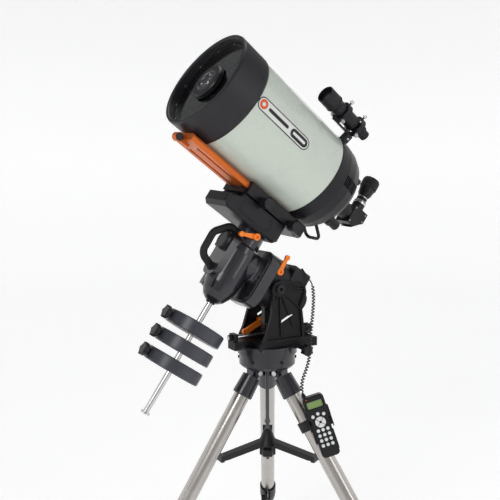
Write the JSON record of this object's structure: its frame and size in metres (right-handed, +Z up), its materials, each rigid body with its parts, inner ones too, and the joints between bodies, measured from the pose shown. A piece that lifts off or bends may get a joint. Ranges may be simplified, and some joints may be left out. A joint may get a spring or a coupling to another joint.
{
  "type": "schmidt cassegrain telescope",
  "caption": "Schmidt-Cassegrain telescope on an equatorial mount with clutches, sliding counterweights, finder, diagonal, hand controller and a tripod.",
  "frame": {"origin": "floor plane, at the centre of the object's bounding box in X and Y", "axes": "+Z up, +Y towards north (the polar axis rises towards +Y), +X east; the tripod's vertical axis is at X 0, Y -0.052 m"},
  "size_m": [1.0072, 1.0525, 1.8242],
  "materials": {
    "black_satin": "satin, fine texture",
    "sage_paint": "gloss",
    "orange_anodised": "satin anodised",
    "stainless": "brushed",
    "chrome": "polished",
    "weight_paint": "satin painted",
    "rubber": "matt",
    "black_plastic": "fine grain",
    "white_plastic": "semi-gloss",
    "black_anodised": "satin anodised",
    "bearing_steel": "ground",
    "wheel_brass": "machined",
    "corrector_glass": "polished and coated",
    "mirror": "polished",
    "cord_jacket": "semi-matt"
  },
  "bodies": {
    "tripod": {"tripod_hub": "black_satin", "leg_collars": "black_satin", "leg_hinge_bolts": "bearing_steel", "upper_legs": "stainless", "leg_clamps": "black_satin", "centre_rod": "bearing_steel", "controller_cradle": "black_plastic", "hand_controller": "black_plastic", "cord_lower": "cord_jacket"},
    "leg_north": {"lower_leg_north": "stainless"},
    "leg_west": {"lower_leg_west": "stainless"},
    "leg_east": {"lower_leg_east": "stainless"},
    "spreader": {"spreader": "black_plastic"},
    "tension_knob": {"tension_knob": "black_plastic"},
    "round_keys": {"round_keys": "white_plastic"},
    "arrow_keys": {"arrow_keys": "white_plastic"},
    "azimuth": {"azimuth_base": "black_satin", "side_plates": "black_satin", "altitude_pivots": "black_satin"},
    "azimuth_screws": {"azimuth_screws": "bearing_steel"},
    "altitude": {"ra_housing": "black_satin", "ra_gearbox": "black_satin", "ra_bearings": "bearing_steel", "cord_upper": "cord_jacket"},
    "altitude_nut": {"altitude_nut": "black_satin"},
    "altitude_screw": {"altitude_screw": "bearing_steel"},
    "altitude_lock_lever": {"altitude_lock_lever": "orange_anodised"},
    "ra_clutch_lever": {"ra_clutch_lever": "orange_anodised"},
    "ra_worm": {"ra_worm": "bearing_steel"},
    "ra": {"ra_shaft": "bearing_steel", "ra_worm_wheel": "wheel_brass", "dec_housing": "black_satin", "dec_handle": "rubber", "counterweight_shaft": "chrome"},
    "dec_clutch_lever": {"dec_clutch_lever": "orange_anodised"},
    "counterweight_1": {"counterweight_1": "weight_paint"},
    "counterweight_2": {"counterweight_2": "weight_paint"},
    "counterweight_3": {"counterweight_3": "weight_paint"},
    "weight_knob_1": {"weight_knob_1": "black_plastic"},
    "weight_knob_2": {"weight_knob_2": "black_plastic"},
    "weight_knob_3": {"weight_knob_3": "black_plastic"},
    "dec": {"dec_head": "black_satin", "dec_shaft": "bearing_steel", "saddle": "black_satin"},
    "saddle_jaw": {"saddle_jaw": "black_satin", "saddle_knobs": "black_plastic"},
    "ota": {"dovetail": "orange_anodised", "ota_tube": "sage_paint", "front_cell": "black_satin", "corrector": "corrector_glass", "secondary": "black_anodised", "rear_cell": "black_satin", "baffle_tube": "black_anodised", "visual_back": "black_anodised", "finder": "black_anodised", "finder_bracket": "black_satin"},
    "primary_mirror": {"primary_mirror": "mirror"},
    "focus_knob": {"focus_knob": "black_plastic"},
    "diagonal": {"diagonal": "black_anodised"},
    "eyepiece": {"eyepiece": "black_anodised"}
  },
  "joints": [
    {"name": "leg_north_extend", "type": "slide", "parent": "tripod", "child": "leg_north", "axis": [0, 0.5461, -0.8377], "range_m": [-0.08, 0.25]},
    {"name": "leg_west_extend", "type": "slide", "parent": "tripod", "child": "leg_west", "axis": [-0.4729, -0.2731, -0.8377], "range_m": [-0.08, 0.25]},
    {"name": "leg_east_extend", "type": "slide", "parent": "tripod", "child": "leg_east", "axis": [0.4729, -0.2731, -0.8377], "range_m": [-0.08, 0.25]},
    {"name": "spreader_lift", "type": "slide", "parent": "tripod", "child": "spreader", "axis": [0, 0, 1], "range_m": [-0.012, 0]},
    {"name": "tension_knob_turn", "type": "hinge", "parent": "spreader", "child": "tension_knob", "pos_m": [0, -0.0519, 0.56451], "axis": [0, 0, 1], "range_deg": [-2160, 0]},
    {"name": "round_keys_press", "type": "slide", "parent": "tripod", "child": "round_keys", "axis": [0.8599, -0.5004, -0.1012], "range_m": [0, 0.0012], "stiffness_N_per_m": 600, "springref_m": -0.002},
    {"name": "arrow_keys_press", "type": "slide", "parent": "tripod", "child": "arrow_keys", "axis": [0.8599, -0.5004, -0.1012], "range_m": [0, 0.0012], "stiffness_N_per_m": 600, "springref_m": -0.002},
    {"name": "azimuth_turn", "type": "hinge", "parent": "tripod", "child": "azimuth", "pos_m": [0, -0.0519, 0.86051], "axis": [0, 0, 1], "range_deg": [-6, 6], "deforming": ["cord_lower"]},
    {"name": "azimuth_screws_push", "type": "slide", "parent": "azimuth", "child": "azimuth_screws", "axis": [1, 0, 0], "range_m": [-0.00838, 0.00838]},
    {"name": "altitude_turn", "type": "hinge", "parent": "azimuth", "child": "altitude", "pos_m": [0, -0.0519, 1.07151], "axis": [1, 0, 0], "range_deg": [-8, 20], "deforming": ["cord_upper"]},
    {"name": "altitude_nut_travel", "type": "slide", "parent": "azimuth", "child": "altitude_nut", "axis": [0, 1, 0], "range_m": [-0.01815, 0.04538]},
    {"name": "altitude_screw_turn", "type": "hinge", "parent": "azimuth", "child": "altitude_screw", "pos_m": [0, -0.0519, 0.91851], "axis": [0, 1, 0], "range_deg": [-5445.43, 2178.17]},
    {"name": "altitude_lock_turn", "type": "hinge", "parent": "azimuth", "child": "altitude_lock_lever", "pos_m": [0.034, -0.0579, 0.95251], "axis": [1, 0, 0], "range_deg": [0, 45]},
    {"name": "ra_clutch_turn", "type": "hinge", "parent": "altitude", "child": "ra_clutch_lever", "pos_m": [-0.0665, -0.05642, 1.12482], "axis": [1, 0, 0], "range_deg": [-8, 25]},
    {"name": "ra_turn", "type": "hinge", "parent": "altitude", "child": "ra", "pos_m": [0, 0.0581, 1.16351], "axis": [0, 0.8192, 0.5736], "range_deg": [-100, 100]},
    {"name": "ra_worm_turn", "type": "hinge", "parent": "altitude", "child": "ra_worm", "pos_m": [0.0663, -0.00153, 1.10222], "axis": [0, 0.5736, -0.8192], "range_deg": [-18000, 18000]},
    {"name": "dec_clutch_turn", "type": "hinge", "parent": "ra", "child": "dec_clutch_lever", "pos_m": [-0.0466, 0.01377, 1.23379], "axis": [1, 0, 0], "range_deg": [-25, 25]},
    {"name": "counterweight_1_slide", "type": "slide", "parent": "ra", "child": "counterweight_1", "axis": [0, 0.5736, -0.8192], "range_m": [-0.05, 0.01]},
    {"name": "weight_knob_1_turn", "type": "hinge", "parent": "counterweight_1", "child": "weight_knob_1", "pos_m": [0, 0.28226, 1.01772], "axis": [0, 0.8192, 0.5736], "range_deg": [0, 720]},
    {"name": "counterweight_2_slide", "type": "slide", "parent": "ra", "child": "counterweight_2", "axis": [0, 0.5736, -0.8192], "range_m": [-0.01, 0.01]},
    {"name": "weight_knob_2_turn", "type": "hinge", "parent": "counterweight_2", "child": "weight_knob_2", "pos_m": [0, 0.31805, 0.9666], "axis": [0, 0.8192, 0.5736], "range_deg": [0, 720]},
    {"name": "counterweight_3_slide", "type": "slide", "parent": "ra", "child": "counterweight_3", "axis": [0, 0.5736, -0.8192], "range_m": [-0.01, 0.11]},
    {"name": "weight_knob_3_turn", "type": "hinge", "parent": "counterweight_3", "child": "weight_knob_3", "pos_m": [0, 0.35384, 0.91549], "axis": [0, 0.8192, 0.5736], "range_deg": [0, 720]},
    {"name": "dec_turn", "type": "hinge", "parent": "ra", "child": "dec", "pos_m": [0, 0.0581, 1.16351], "axis": [0, 0.5736, -0.8192], "range_deg": [-173, 187]},
    {"name": "saddle_jaw_open", "type": "slide", "parent": "dec", "child": "saddle_jaw", "axis": [-0.9925, -0.0998, -0.0699], "range_m": [0, 0.006]},
    {"name": "dovetail_slide", "type": "slide", "parent": "dec", "child": "ota", "axis": [-0.1219, 0.813, 0.5693], "range_m": [-0.04, 0.04]},
    {"name": "mirror_focus", "type": "slide", "parent": "ota", "child": "primary_mirror", "axis": [-0.1219, 0.813, 0.5693], "range_m": [-0.01, 0.01]},
    {"name": "focus_knob_turn", "type": "hinge", "parent": "ota", "child": "focus_knob", "pos_m": [-0.03765, -0.2669, 1.27532], "axis": [-0.1219, 0.813, 0.5693], "range_deg": [-4800, 4800]},
    {"name": "diagonal_turn", "type": "hinge", "parent": "ota", "child": "diagonal", "pos_m": [0.03656, -0.39574, 1.29253], "axis": [-0.1219, 0.813, 0.5693], "range_deg": [-120, 120]},
    {"name": "eyepiece_draw", "type": "slide", "parent": "diagonal", "child": "eyepiece", "axis": [0, -0.5736, 0.8192], "range_m": [0, 0.03]}
  ],
  "couplings": [
    {"joint": "tension_knob_turn", "follows": "spreader_lift", "rad_per_m": 3141.6},
    {"joint": "azimuth_screws_push", "follows": "azimuth_turn", "m_per_rad": -0.08},
    {"joint": "altitude_nut_travel", "follows": "altitude_turn", "m_per_rad": 0.13},
    {"joint": "altitude_screw_turn", "follows": "altitude_turn", "ratio": -272.27},
    {"joint": "ra_worm_turn", "follows": "ra_turn", "ratio": -180},
    {"joint": "focus_knob_turn", "follows": "mirror_focus", "rad_per_m": 8377.6}
  ]
}
